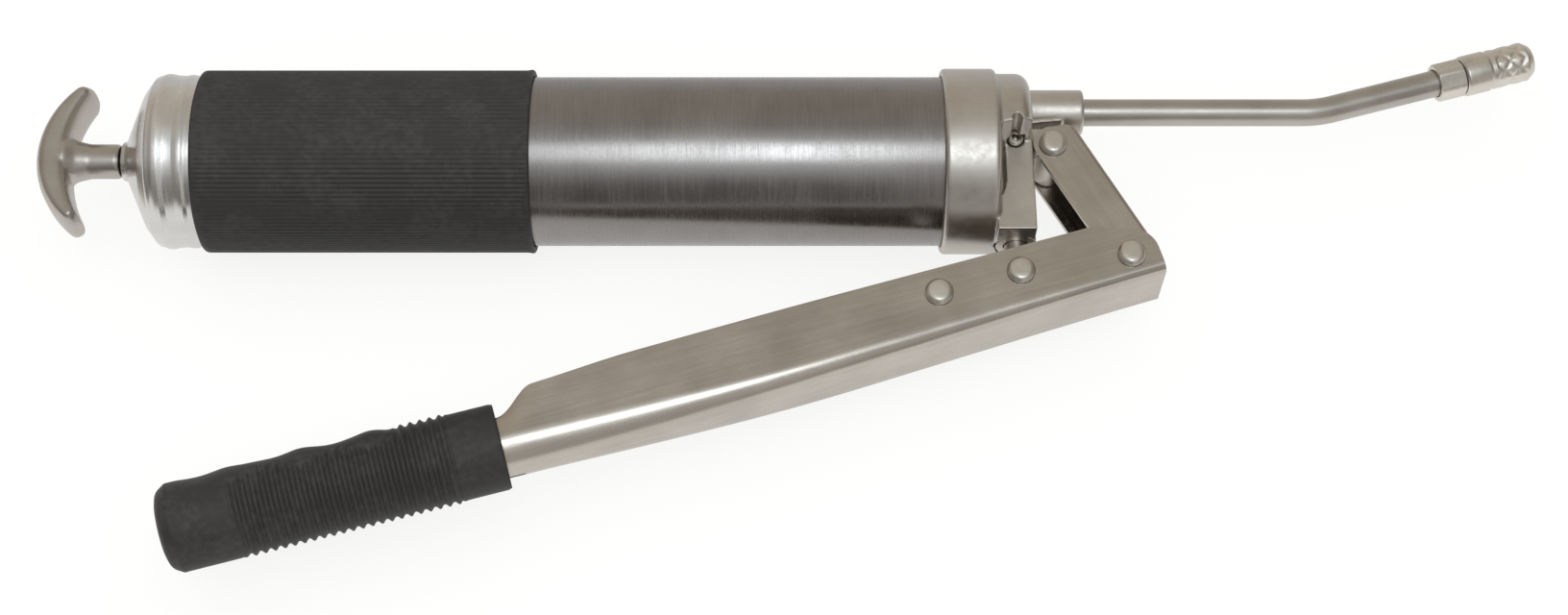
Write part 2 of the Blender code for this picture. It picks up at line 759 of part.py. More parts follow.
def coupler():
    """The hydraulic coupler: body, sleeve, spring, seal and three gripping jaws."""
    place = pipe_end() @ at(-COUPLER_OVERLAP)
    body = [
        (0, PIPE_R + GAP),
        (0, 5.6),
        (0.7, 6.2),
        (9.2, 6.2),
        (9.2, 4.4),
        (13.2, 4.4),
        (13.2, 1.3),
        (COUPLER_OVERLAP + GAP, 1.3),
        (COUPLER_OVERLAP + GAP, PIPE_R + GAP),
    ]
    finish(turned(body, 20, place), "coupler_body", STEEL)
    bore = 4.4 + GAP
    sleeve = [
        (9.5, bore),
        (9.5, COUPLER_R - 0.5),
        (10.0, COUPLER_R),
        (18.8, COUPLER_R),
        (19.4, COUPLER_R - 0.4),
        (31.8, COUPLER_R - 0.4),
        (33.8, COUPLER_R - 1.2),
        (COUPLER_LENGTH, COUPLER_R - 2.4),
        (COUPLER_LENGTH, 3.8),
        (32.8, 3.8),
        (31.4, bore + 0.4),
        (23.2, bore + 0.4),
        (23.2, bore),
    ]
    finish(turned(sleeve, 20, place), "coupler_sleeve", STEEL)
    spring = coil(3.2, 0.4, 5.4, 3, place @ at(13.5))
    finish(spring, "coupler_spring", SPRING)
    washer = tube(19.2, 20.6, 4.3, 1.5, FINE, place)
    finish(washer, "coupler_washer", STEEL)
    finish(tube(20.9, 23.4, 4.3, 1.3, FINE, place), "coupler_seal", SEAL)
    for i in range(3):
        turn = place @ Matrix.Rotation(math.radians(120 * i), 4, "X")
        finish(jaw(turn), "coupler_jaw_" + "abc"[i], STEEL)


def jaw(place):
    """One of three jaws: a sector of a stepped ring."""
    steps = 5
    section = [(23.8, 3.5), (23.8, 4.5), (31.0, 4.5), (32.2, 3.6), (32.2, 2.9), (29.2, 3.5)]
    rings = []
    for i in range(steps + 1):
        angle = math.radians(-54 + 108 * i / steps)
        rings.append(
            [place @ Vector((x, r * math.cos(angle), r * math.sin(angle))) for x, r in section]
        )
    return skin(rings)


def main():
    clear_scene()
    gun = pivot("gun", PUMP_CENTRE)
    barrel_tube()
    barrel_sleeve()
    rear_cap()
    rod_gland()
    follower_rod()
    pull_handle()
    follower()
    follower_spring()
    head_casting()
    head_gasket()
    plunger_packing()
    bleeder()
    check_valve()
    pump_plunger()
    span = LEVER_PIVOT - HEAD_PIVOT
    link_axis = pivot("link_axis", (*HEAD_PIVOT, 0), math.atan2(span.y, span.x), gun)
    lever_axis = pivot("lever_axis", (*LEVER_PIVOT, 0), LEVER_ANGLE, gun)
    toggle_link(link_axis)
    rivet("link_rivet", *HEAD_PIVOT, LINK_HALF_Z)
    lever_arm(lever_axis)
    lever_grip(lever_axis)
    rivet("lever_rivet", 0, 0, LEVER_HALF_Z, lever_axis)
    rivet("plunger_rivet", plunger_pin_x(), PIN_OFFSET, LEVER_HALF_Z, lever_axis)
    rivet("spacer_rivet", SPACER_X, PIN_OFFSET, LEVER_HALF_Z, lever_axis)
    spacer_tube(lever_axis)
    extension_pipe()
    coupler()


main()
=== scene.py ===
import json
import math

import bmesh
import bpy
from mathutils import Matrix, Vector


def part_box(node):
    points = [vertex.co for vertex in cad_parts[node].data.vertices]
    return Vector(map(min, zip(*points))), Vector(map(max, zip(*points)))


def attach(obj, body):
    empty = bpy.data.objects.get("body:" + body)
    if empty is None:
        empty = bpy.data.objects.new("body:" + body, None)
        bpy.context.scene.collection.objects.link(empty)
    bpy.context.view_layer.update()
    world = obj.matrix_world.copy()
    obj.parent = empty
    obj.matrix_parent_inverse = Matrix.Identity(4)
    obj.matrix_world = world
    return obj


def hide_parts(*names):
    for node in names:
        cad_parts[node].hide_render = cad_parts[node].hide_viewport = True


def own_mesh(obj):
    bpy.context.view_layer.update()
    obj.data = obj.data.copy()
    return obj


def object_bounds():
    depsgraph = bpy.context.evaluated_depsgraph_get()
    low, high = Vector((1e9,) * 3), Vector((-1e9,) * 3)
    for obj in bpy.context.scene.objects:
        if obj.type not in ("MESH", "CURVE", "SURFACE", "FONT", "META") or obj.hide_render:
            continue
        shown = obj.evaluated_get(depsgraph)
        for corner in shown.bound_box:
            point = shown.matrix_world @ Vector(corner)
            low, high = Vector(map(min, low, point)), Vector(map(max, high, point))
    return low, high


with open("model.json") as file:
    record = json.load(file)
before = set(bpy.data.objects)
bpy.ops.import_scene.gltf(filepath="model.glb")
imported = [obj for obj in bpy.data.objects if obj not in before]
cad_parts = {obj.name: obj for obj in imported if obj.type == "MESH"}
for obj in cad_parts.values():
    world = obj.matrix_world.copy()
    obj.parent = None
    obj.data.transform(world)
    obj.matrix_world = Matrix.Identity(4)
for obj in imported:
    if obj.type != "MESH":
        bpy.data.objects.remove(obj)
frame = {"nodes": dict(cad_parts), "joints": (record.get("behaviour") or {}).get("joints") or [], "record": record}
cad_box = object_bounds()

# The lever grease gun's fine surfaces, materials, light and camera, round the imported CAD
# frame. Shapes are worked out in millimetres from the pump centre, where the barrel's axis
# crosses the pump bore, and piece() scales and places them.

MM = 0.001


# ------------------------------------------------------------------ places, from the frame


def centre(node):
    low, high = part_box(node)
    return (low + high) / 2 / MM


PUMP = Vector((centre("plunger_packing").x, centre("barrel_tube").y, centre("barrel_tube").z))


def span(node, axis):
    """A node's lowest and highest coordinate along an axis, from the pump centre."""
    low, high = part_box(node)
    return low[axis] / MM - PUMP[axis], high[axis] / MM - PUMP[axis]


def joint(name):
    return next(entry for entry in frame["joints"] if entry["name"] == name)


def joint_place(name):
    return Vector(joint(name)["pos_m"]) / MM - PUMP


BARREL_REAR, BARREL_FRONT = span("barrel_tube", 0)
BARREL_R = span("barrel_tube", 2)[1]
SLEEVE_REAR, SLEEVE_FRONT = span("barrel_sleeve", 0)
CAP_REAR = span("rear_cap", 0)[0]
RING_R = span("head_casting", 2)[1]
RING_REAR = span("head_casting", 0)[0]
BOX_BOTTOM = span("head_casting", 1)[0]
BOSS_FRONT = span("head_casting", 0)[1]
OUTLET_Y = centre("check_ball").y - PUMP.y
BLEEDER = (centre("bleeder_bush") - PUMP).to_2d()
HEAD_PIVOT = joint_place("link_swing").to_2d()
LEVER_PIVOT = joint_place("lever_swing").to_2d()
PLUNGER_PIN = (centre("plunger_rivet") - PUMP).to_2d()
SPACER_PIN = (centre("spacer_rivet") - PUMP).to_2d()
LEVER_ANGLE = math.atan2(*reversed(PLUNGER_PIN - SPACER_PIN))
SPOUT = -Vector(joint("coupler_seal_float")["axis"])
SPOUT_ANGLE = math.atan2(SPOUT.y, SPOUT.x)
LINK_HALF_Z = span("toggle_link", 2)[1]
LEVER_HALF_Z = span("lever_arm", 2)[1]

GAP = 0.3  # clearance between neighbouring pieces
SHEET = 1.8  # thickness of the lever's and the link's steel
PIN_HOLE_R = 3.3
THROUGH = 20.0  # half length of a cutter that goes right through a piece
ROD_R = 4.0
PIPE_R = 4.6
PIPE_BORE_R = 2.0
PIPE_BEND_R = 40.0

# The lever, across it from its pivot: front end, web, folded edges and tail
NOSE_R = 9.4
WEB_Y = -8.2
FOLD_Y = 13.0
FOLD_DROP = 1.6
TAIL_R = 10.6
TAIL_TOP = 6.6
TAIL_TOP_HALF_Z = 8.4

# The grip: its ends along the lever from the pivot, and its axis's height at each
GRIP_FRONT, GRIP_REAR = -214.0, -324.8
GRIP_LENGTH = GRIP_FRONT - GRIP_REAR
GRIP_AXIS_FRONT, GRIP_AXIS_REAR = -2.7, -0.6

# The coupler, along it from the rear of its body
WASHER_AT = 19.9
SPRING_AT = 13.5
PIPE_SEAT = 6.0


def at(x=0.0, y=0.0, z=0.0):
    return Matrix.Translation((x, y, z))


ALONG_Y = Matrix.Rotation(math.pi / 2, 4, "Z")
ALONG_Z = Matrix.Rotation(-math.pi / 2, 4, "Y")
LEVER = at(*LEVER_PIVOT) @ Matrix.Rotation(LEVER_ANGLE, 4, "Z")
LINK_ALONG = LEVER_PIVOT - HEAD_PIVOT
LINK = at(*HEAD_PIVOT) @ Matrix.Rotation(math.atan2(LINK_ALONG.y, LINK_ALONG.x), 4, "Z")


# ------------------------------------------------------------------ materials


def node(tree, kind, inputs=None, **settings):
    """A shader node with its settings; an input takes a value or another node's output."""
    made = tree.nodes.new(kind)
    for key, value in settings.items():
        setattr(made, key, value)
    for key, value in (inputs or {}).items():
        if isinstance(value, bpy.types.NodeSocket):
            tree.links.new(value, made.inputs[key])
        else:
            made.inputs[key].default_value = value
    return made


def object_coords(tree):
    return node(tree, "ShaderNodeTexCoord").outputs["Object"]


def stretched(scale):
    """Coordinates whose noise is drawn out along the axes with a low scale, per metre."""

    def coords(tree):
        source = object_coords(tree)
        inputs = {0: source, 1: scale}
        return node(tree, "ShaderNodeVectorMath", inputs, operation="MULTIPLY").outputs[0]

    return coords


def turned_marks(along, round_it):
    """Coordinates for tool marks that run round the object's X axis."""

    def coords(tree):
        source = node(tree, "ShaderNodeSeparateXYZ", {0: object_coords(tree)}).outputs
        inputs = {"Y": source["Y"], "Z": source["Z"]}
        flat = node(tree, "ShaderNodeCombineXYZ", inputs).outputs[0]
        unit = node(tree, "ShaderNodeVectorMath", {0: flat}, operation="NORMALIZE").outputs[0]
        inputs = {0: unit, "Scale": round_it}
        ring = node(tree, "ShaderNodeVectorMath", inputs, operation="SCALE").outputs[0]
        shift = maths(tree, "MULTIPLY", source["X"], along)
        line = node(tree, "ShaderNodeCombineXYZ", {"X": shift}).outputs[0]
        return node(tree, "ShaderNodeVectorMath", {0: ring, 1: line}).outputs[0]

    return coords


def maths(tree, operation, a, b=0.0):
    return node(tree, "ShaderNodeMath", {0: a, 1: b}, operation=operation).outputs[0]


def noise(tree, coords, scale=1.0, detail=3.0):
    inputs = {"Vector": coords, "Scale": scale, "Detail": detail}
    return node(tree, "ShaderNodeTexNoise", inputs).outputs["Fac"]


def spread(tree, value, low, high, start=0.3, end=0.7):
    """Maps start..end of a value onto low..high."""
    inputs = {"Value": value, "From Min": start, "From Max": end, "To Min": low, "To Max": high}
    return node(tree, "ShaderNodeMapRange", inputs).outputs[0]


def blend_colours(tree, share, first, second, blend="MIX"):
    """Mixes two colours, each given as three channels or as another node's output."""
    made = tree.nodes.new("ShaderNodeMix")
    made.data_type = "RGBA"
    made.blend_type = blend
    share_in, first_in, second_in = made.inputs[0], made.inputs[6], made.inputs[7]
    for socket, value in ((share_in, share), (first_in, first), (second_in, second)):
        if isinstance(value, bpy.types.NodeSocket):
            tree.links.new(value, socket)
        elif isinstance(value, tuple):
            socket.default_value = (*value, 1.0)
        else:
            socket.default_value = value
    return made.outputs[2]


def shade(colour, factor):
    return tuple(channel * factor for channel in colour)


def bump(tree, height, distance, strength=1.0, under=None):
    inputs = {"Height": height, "Distance": distance * MM, "Strength": strength}
    if under is not None:
        inputs["Normal"] = under
    return node(tree, "ShaderNodeBump", inputs).outputs[0]


def new_material(name, metallic):
    made = bpy.data.materials.new(name)
    made.use_nodes = True
    shader = made.node_tree.nodes["Principled BSDF"]
    shader.inputs["Metallic"].default_value = metallic
    return made, made.node_tree, shader


def metal(
    name, colour, roughness, grain,
    marks=0.08, cloud=0.06, ripple=0.03, depth=0.006, line_tint=0.35, edge_wear_and_hollow_shade=0.0,
):
    """Plated or ground metal: tool marks, cloudy handling marks and ripples.

    grain is a coordinate function for the tool marks. marks and cloud change the roughness,
    ripple and depth are heights in mm, line_tint is how much the tool marks darken the
    colour, and the last argument lightens edges, rubbed bright with use, and darkens hollows
    with painted shade.
    """
    made, tree, shader = new_material(name, 1.0)
    lines = noise(tree, grain(tree), 1.0, 4.0)
    clouds = noise(tree, object_coords(tree), 55.0, 4.0)
    specks = noise(tree, object_coords(tree), 900.0, 2.0)
    cloudy = spread(tree, clouds, 0.0, 1.0)
    surface = blend_colours(tree, cloudy, shade(colour, 0.88), shade(colour, 1.06))
    lined = spread(tree, lines, 0.72, 1.15)
    surface = blend_colours(tree, line_tint, surface, lined, "MULTIPLY")
    # Edges rubbed bright with use; hollows darkened towards 0.35 of the colour as painted shade.
    if edge_wear_and_hollow_shade:
        point = node(tree, "ShaderNodeNewGeometry").outputs["Pointiness"]
        edge = spread(tree, point, 0.0, edge_wear_and_hollow_shade, 0.52, 0.62)
        hollow = spread(tree, point, edge_wear_and_hollow_shade, 0.0, 0.38, 0.49)
        surface = blend_colours(tree, edge, surface, shade(colour, 1.3))
        surface = blend_colours(tree, hollow, surface, shade(colour, 0.35))
    tree.links.new(surface, shader.inputs["Base Color"])
    rough = maths(tree, "ADD", spread(tree, lines, -marks, marks), roughness)
    rough = maths(tree, "ADD", spread(tree, clouds, -cloud, cloud), rough)
    rough = maths(tree, "ADD", spread(tree, specks, -0.02, 0.02), rough)
    tree.links.new(rough, shader.inputs["Roughness"])
    ripples = noise(tree, object_coords(tree), 110.0, 1.0)
    normal = bump(tree, ripples, ripple)
    normal = bump(tree, lines, depth, 1.0, normal)
    tree.links.new(normal, shader.inputs["Normal"])
    return made


def rubber(name, colour, roughness, grain_scale=1800.0):
    """Moulded rubber: a fine pebble, faint grey dust and smoother rubbed patches."""
    made, tree, shader = new_material(name, 0.0)
    coords = object_coords(tree)
    pebble = noise(tree, coords, grain_scale, 2.0)
    clouds = noise(tree, coords, 70.0, 4.0)
    dust = noise(tree, coords, 420.0, 5.0)
    dusty = spread(tree, maths(tree, "MULTIPLY", clouds, dust), 0.0, 1.0, 0.2, 0.42)
    surface = blend_colours(tree, dusty, shade(colour, 0.82), shade(colour, 1.35))
    tree.links.new(surface, shader.inputs["Base Color"])
    rough = maths(tree, "ADD", spread(tree, clouds, -0.06, 0.07), roughness)
    tree.links.new(rough, shader.inputs["Roughness"])
    shader.inputs["Specular IOR Level"].default_value = 0.36
    normal = bump(tree, pebble, 0.05, 0.6)
    normal = bump(tree, dust, 0.05, 0.5, normal)
    tree.links.new(normal, shader.inputs["Normal"])
    return made


LOOKS = {
    "nickel_plate": metal(
        "nickel_plate", (0.585, 0.54, 0.485), 0.23, stretched((35, 900, 900)),
        marks=0.04, cloud=0.05, ripple=0.03, depth=0.003, line_tint=0.22,
    ),
    "polished_cap": metal(
        "polished_cap", (0.80, 0.785, 0.76), 0.23, turned_marks(2600, 3.0),
        marks=0.05, cloud=0.05, ripple=0.03, depth=0.003, line_tint=0.15,
    ),
    "barrel_steel": metal(
        "barrel_steel", (0.34, 0.322, 0.312), 0.25, turned_marks(1700, 2.2),
        marks=0.06, cloud=0.05, ripple=0.03, depth=0.004, line_tint=0.28,
    ),
    # Cast zinc: edges rubbed bright, hollows darkened with painted shade.
    "cast_zinc": metal(
        "cast_zinc", (0.66, 0.625, 0.575), 0.36, stretched((420, 420, 420)),
        marks=0.05, cloud=0.05, ripple=0.05, depth=0.004, line_tint=0.15, edge_wear_and_hollow_shade=0.7,
    ),
    "satin_nickel": metal(
        "satin_nickel", (0.565, 0.53, 0.485), 0.34, stretched((60, 500, 500)),
        marks=0.05, cloud=0.05, ripple=0.03, depth=0.003, line_tint=0.15,
    ),
    "bright_steel": metal(
        "bright_steel", (0.78, 0.74, 0.67), 0.32, stretched((500, 500, 500)),
        marks=0.05, ripple=0.02, depth=0.004, line_tint=0.2,
    ),
    "spring_steel": metal(
        "spring_steel", (0.32, 0.32, 0.33), 0.32, stretched((700, 700, 700)), ripple=0.01
    ),
    "grip_rubber": rubber("grip_rubber", (0.036, 0.034, 0.033), 0.55),
    "seal_rubber": rubber("seal_rubber", (0.036, 0.032, 0.028), 0.45, 900.0),
}
SLOTS = {entry["node"]: entry["material_slot"] for entry in frame["record"]["subparts"]}
BODIES = frame["record"]["behaviour"]["bodies"]


# ------------------------------------------------------------------ shape helpers


def smooth_step(value, low, high):
    share = min(max((value - low) / (high - low), 0.0), 1.0)
    return share * share * (3 - 2 * share)


def mix(a, b, share):
    return a + (b - a) * share


def arc(middle, radius, start, end, steps):
    """Points round a circle, from one angle to another in degrees."""
    points = []
    for i in range(steps + 1):
        angle = math.radians(mix(start, end, i / steps))
        points.append(
            (middle[0] + radius * math.cos(angle), middle[1] + radius * math.sin(angle))
        )
    return points


def rounded(points, step=12.0):
    """A closed outline in which a corner given as (a, b, radius) is rounded by an arc."""
    result = []
    for i, point in enumerate(points):
        corner = Vector(point[:2])
        if len(point) < 3:
            result.append(tuple(corner))
            continue
        back = Vector(points[i - 1][:2]) - corner
        ahead = Vector(points[(i + 1) % len(points)][:2]) - corner
        half = back.angle(ahead) / 2
        reach = min(point[2] / math.tan(half), 0.48 * back.length, 0.48 * ahead.length)
        radius = reach * math.tan(half)
        middle = corner + (back.normalized() + ahead.normalized()).normalized() * (
            radius / math.sin(half)
        )
        start = corner + back.normalized() * reach - middle
        end = corner + ahead.normalized() * reach - middle
        turn = math.pi - 2 * half
        steps = max(2, math.ceil(math.degrees(turn) / step))
        for k in range(steps + 1):
            share = k / steps
            arm = start * math.sin((1 - share) * turn) + end * math.sin(share * turn)
            result.append(tuple(middle + arm / math.sin(turn)))
    return result


def skin(rings, closed=False):
    """Faces between rings of points; a ring of one point closes an end."""
    bm = bmesh.new()
    rows = [[bm.verts.new(point) for point in ring] for ring in rings]
    pairs = list(zip(rows, rows[1:]))
    if closed:
        pairs.append((rows[-1], rows[0]))
    for first, second in pairs:
        for k in range(max(len(first), len(second))):
            n = k + 1
            corners = (
                first[k % len(first)],
                first[n % len(first)],
                second[n % len(second)],
                second[k % len(second)],
            )
            corners = list(dict.fromkeys(corners))
            if len(corners) > 2:
                bm.faces.new(corners)
    if not closed:
        for row in (rows[0], rows[-1]):
            if len(row) > 2:
                bm.faces.new(row)
    bmesh.ops.recalc_face_normals(bm, faces=bm.faces)
    return bm


def revolve(profile, steps=96, place=None, shape=None):
    """A closed (x, radius) outline turned about X; shape(x, angle, radius) can change it."""
    rings = []
    for x, radius in profile:
        if radius < 1e-6:
            rings.append([Vector((x, 0, 0))])
            continue
        ring = []
        for k in range(steps):
            angle = 2 * math.pi * k / steps
            here = shape(x, angle, radius) if shape else radius
            ring.append(Vector((x, here * math.cos(angle), here * math.sin(angle))))
        rings.append(ring)
    bm = skin(rings, closed=len(rings[0]) > 1 or len(rings[-1]) > 1)
    if place is not None:
        bm.transform(place)
    return bm


def prism(outline, z0, z1):
    rings = [[Vector((x, y, z)) for x, y in outline] for z in (z0, z1)]
    return skin(rings)


def block(low, high):
    outline = [(low[0], low[1]), (high[0], low[1]), (high[0], high[1]), (low[0], high[1])]
    return prism(outline, low[2], high[2])


def tube(x0, x1, outer, inner=0.0, steps=64, place=None, edge=0.25):
    """A tube along X with its outer edges rounded."""
    profile = [(x0, inner), (x0, outer, edge), (x1, outer, edge), (x1, inner)]
    return revolve(rounded(profile), steps, place)


def raw_object(bm, name):
    mesh = bpy.data.meshes.new(name)
    bm.to_mesh(mesh)
    bm.free()
    obj = bpy.data.objects.new(name, mesh)
    bpy.context.scene.collection.objects.link(obj)
    return obj


def boolean(target, bm, operation):
    """Adds a shape to a mesh or takes it away, and applies that at once."""
    other = raw_object(bm, "cutter")
    modifier = target.modifiers.new("boolean", "BOOLEAN")
    modifier.object = other
    modifier.operation = operation
    modifier.solver = "MANIFOLD"
    apply_modifiers(target)
    bpy.data.objects.remove(other)


def apply_modifiers(obj):
    graph = bpy.context.evaluated_depsgraph_get()
    mesh = bpy.data.meshes.new_from_object(obj.evaluated_get(graph), depsgraph=graph)
    obj.modifiers.clear()
    obj.data = mesh


def cast_skin(obj, voxel, passes):
    """One even skin over a rough shape, its corners softened as in a casting."""
    remesh = obj.modifiers.new("skin", "REMESH")
    remesh.mode = "VOXEL"
    remesh.voxel_size = voxel
    soften = obj.modifiers.new("soften", "SMOOTH")
    soften.factor = 0.5
    soften.iterations = passes
    apply_modifiers(obj)


def rim_bevel(obj, width, angle):
    """Breaks the edges that turn by more than an angle in degrees."""
    edge = obj.modifiers.new("edge", "BEVEL")
    edge.width = width
    edge.segments = 2
    edge.limit_method = "ANGLE"
    edge.angle_limit = math.radians(angle)
    apply_modifiers(obj)


def flat_faces(obj):
    """Keeps large flat faces looking flat beside their rounded edges."""
    normals = obj.modifiers.new("normals", "WEIGHTED_NORMAL")
    normals.keep_sharp = True
    normals.weight = 90


def piece(shape, nodename, place=None, look=None, sharp=32):
    """Makes a shape the visible piece for a CAD node: placed, finished and on its body."""
    obj = shape if isinstance(shape, bpy.types.Object) else raw_object(shape, nodename)
    obj.name = nodename + "_shape"
    mesh = obj.data
    mesh.transform(Matrix.Scale(MM, 4))
    mesh.shade_smooth()
    mesh.set_sharp_from_angle(angle=math.radians(sharp))
    mesh.materials.clear()
    mesh.materials.append(LOOKS[look or SLOTS[nodename]])
    local = place.copy() if place else Matrix.Identity(4)
    local.translation = (local.translation + PUMP) * MM
    obj.matrix_world = local
    body = next(name for name, members in BODIES.items() if nodename in members)
    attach(obj, body)
    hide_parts(nodename)
    return obj


# ------------------------------------------------------------------ barrel


def barrel_tube():
    """The barrel, with a slightly smaller rear end that the cap screws onto."""
    wall = 1.2
    neck_r, neck_end = BARREL_R - 0.8, SLEEVE_REAR + 0.5
    profile = [
        (BARREL_REAR, neck_r - wall),
        (BARREL_REAR, neck_r, 0.3),
        (neck_end, neck_r, 0.8),
        (neck_end + 1.5, BARREL_R, 0.8),
        (BARREL_FRONT, BARREL_R, 0.3),
        (BARREL_FRONT, BARREL_R - wall),
        (neck_end + 1.5, BARREL_R - wall),
        (neck_end, neck_r - wall),
    ]
    piece(revolve(rounded(profile), 192), "barrel_tube")


def barrel_sleeve():
    """Rubber sleeve with fine ribs along it and a thick curled lip at its front."""
    ribs, samples, depth = 120, 6, 0.28
    inner, outer = BARREL_R + GAP, 30.75
    lip = 31.15
    profile = [
        (SLEEVE_REAR, inner),
        (SLEEVE_REAR, outer - 0.1, 0.7),
        (SLEEVE_REAR + 1.3, outer),
        (SLEEVE_REAR + 2.6, outer),
    ]
    steps = 12
    for i in range(1, steps):
        profile.append((mix(SLEEVE_REAR + 2.6, SLEEVE_FRONT - 5.0, i / steps), outer))
    profile += [
        (SLEEVE_FRONT - 5.0, outer),
        (SLEEVE_FRONT - 2.4, outer, 3.0),
        (SLEEVE_FRONT, lip, 0.8),
        (SLEEVE_FRONT - 0.1, inner, 0.4),
    ]

    def ribbed(x, angle, radius):
        if radius < outer - 0.4:
            return radius
        share = smooth_step(x, SLEEVE_REAR + 1.2, SLEEVE_REAR + 2.4)
        share *= 1 - 0.55 * smooth_step(x, SLEEVE_FRONT - 2.5, SLEEVE_FRONT)
        valley = (0.5 + 0.5 * math.cos(ribs * angle)) ** 2
        return radius - depth * share * valley

    piece(revolve(rounded(profile), ribs * samples, None, ribbed), "barrel_sleeve", sharp=60)


def rear_cap():
    """Spun bell with a rolled collar, a rounded shoulder and two beads."""
    outside = [
        (CAP_REAR, 6.5, 0.5),
        (CAP_REAR + 1.6, 6.9, 0.6),
        (CAP_REAR + 2.1, 8.0, 0.8),
        (-290.6, 24.2, 5.0),
        (-287.3, 28.7, 2.0),
        (-285.9, 29.0, 0.8),
        (-284.6, 29.55, 1.8),
        (-283.0, 29.55, 1.8),
        (-281.2, 29.1, 1.8),
        (-278.1, 28.95, 1.5),
        (-276.6, 29.25, 1.4),
        (-275.4, 29.25, 1.4),
        (-274.2, 28.9, 1.0),
        (SLEEVE_REAR - GAP, 28.9, 0.3),
    ]
    neck_bore = BARREL_R - 0.8 + GAP
    inside = [
        (SLEEVE_REAR - GAP, neck_bore),
        (-285.6, neck_bore, 1.0),
        (-289.2, 24.6, 3.0),
        (-295.4, 11.0, 2.0),
        (-296.2, 7.4),
        (-296.2, 6.0),
        (CAP_REAR, 6.0),
    ]
    piece(revolve(rounded(outside + inside, 9), 192), "rear_cap")


def pull_handle():
    """Forged crescent with soft corners, a fillet at its hub and a round stem."""
    rear = span("pull_handle", 0)[0]
    half_span = span("pull_handle", 1)[1]
    half_width = span("pull_handle", 2)[1]
    outer_r, inner_r, lean_r, thick = 31.0, 47.0, 38.0, 10.0
    squareness = 3.2
    rings = []
    steps, facets = 72, 48
    for i in range(steps + 1):
        share = -1 + 2 * i / steps
        y = share * half_span
        x_out = rear + outer_r - math.sqrt(outer_r**2 - y**2)
        x_in = rear + thick + inner_r - math.sqrt(inner_r**2 - y**2)
        lean = math.atan2(y, lean_r)
        end = math.sqrt(max(1 - smooth_step(abs(share), 0.9, 1.0) ** 2, 0.02))
        half = (x_in - x_out) / 2 * math.cos(lean) * (0.6 + 0.4 * end) + 0.5
        wide = half_width * (0.4 + 0.6 * end)
        middle = Vector(((x_in + x_out) / 2, y, 0))
        across = Vector((math.cos(lean), -math.sin(lean), 0))
        ring = []
        for k in range(facets):
            angle = 2 * math.pi * k / facets
            c, s = math.cos(angle), math.sin(angle)
            push = (abs(c) ** squareness + abs(s) ** squareness) ** (-1 / squareness)
            ring.append(middle + across * (half * push * c) + Vector((0, 0, wide * push * s)))
        rings.append(ring)
    handle = raw_object(skin(rings), "pull_handle_shape")
    stem_end = CAP_REAR - 0.6
    stem = [
        (rear + 4.0, 0),
        (rear + 4.0, 7.4),
        (rear + 9.0, 8.8, 2.0),
        (rear + 12.8, 6.9, 3.0),
        (rear + 17.0, 5.9, 3.0),
        (stem_end - 1.2, 5.9),
        (stem_end, 5.2),
        (stem_end, 0),
    ]
    boolean(handle, revolve(rounded(stem), 64), "UNION")
    cast_skin(handle, voxel=0.5, passes=8)
    bore = tube(span("follower_rod", 0)[0] - GAP, stem_end + 5, ROD_R + GAP, 0, 48)
    boolean(handle, bore, "DIFFERENCE")
    piece(handle, "pull_handle", look="satin_nickel", sharp=45)


# ------------------------------------------------------------------ head


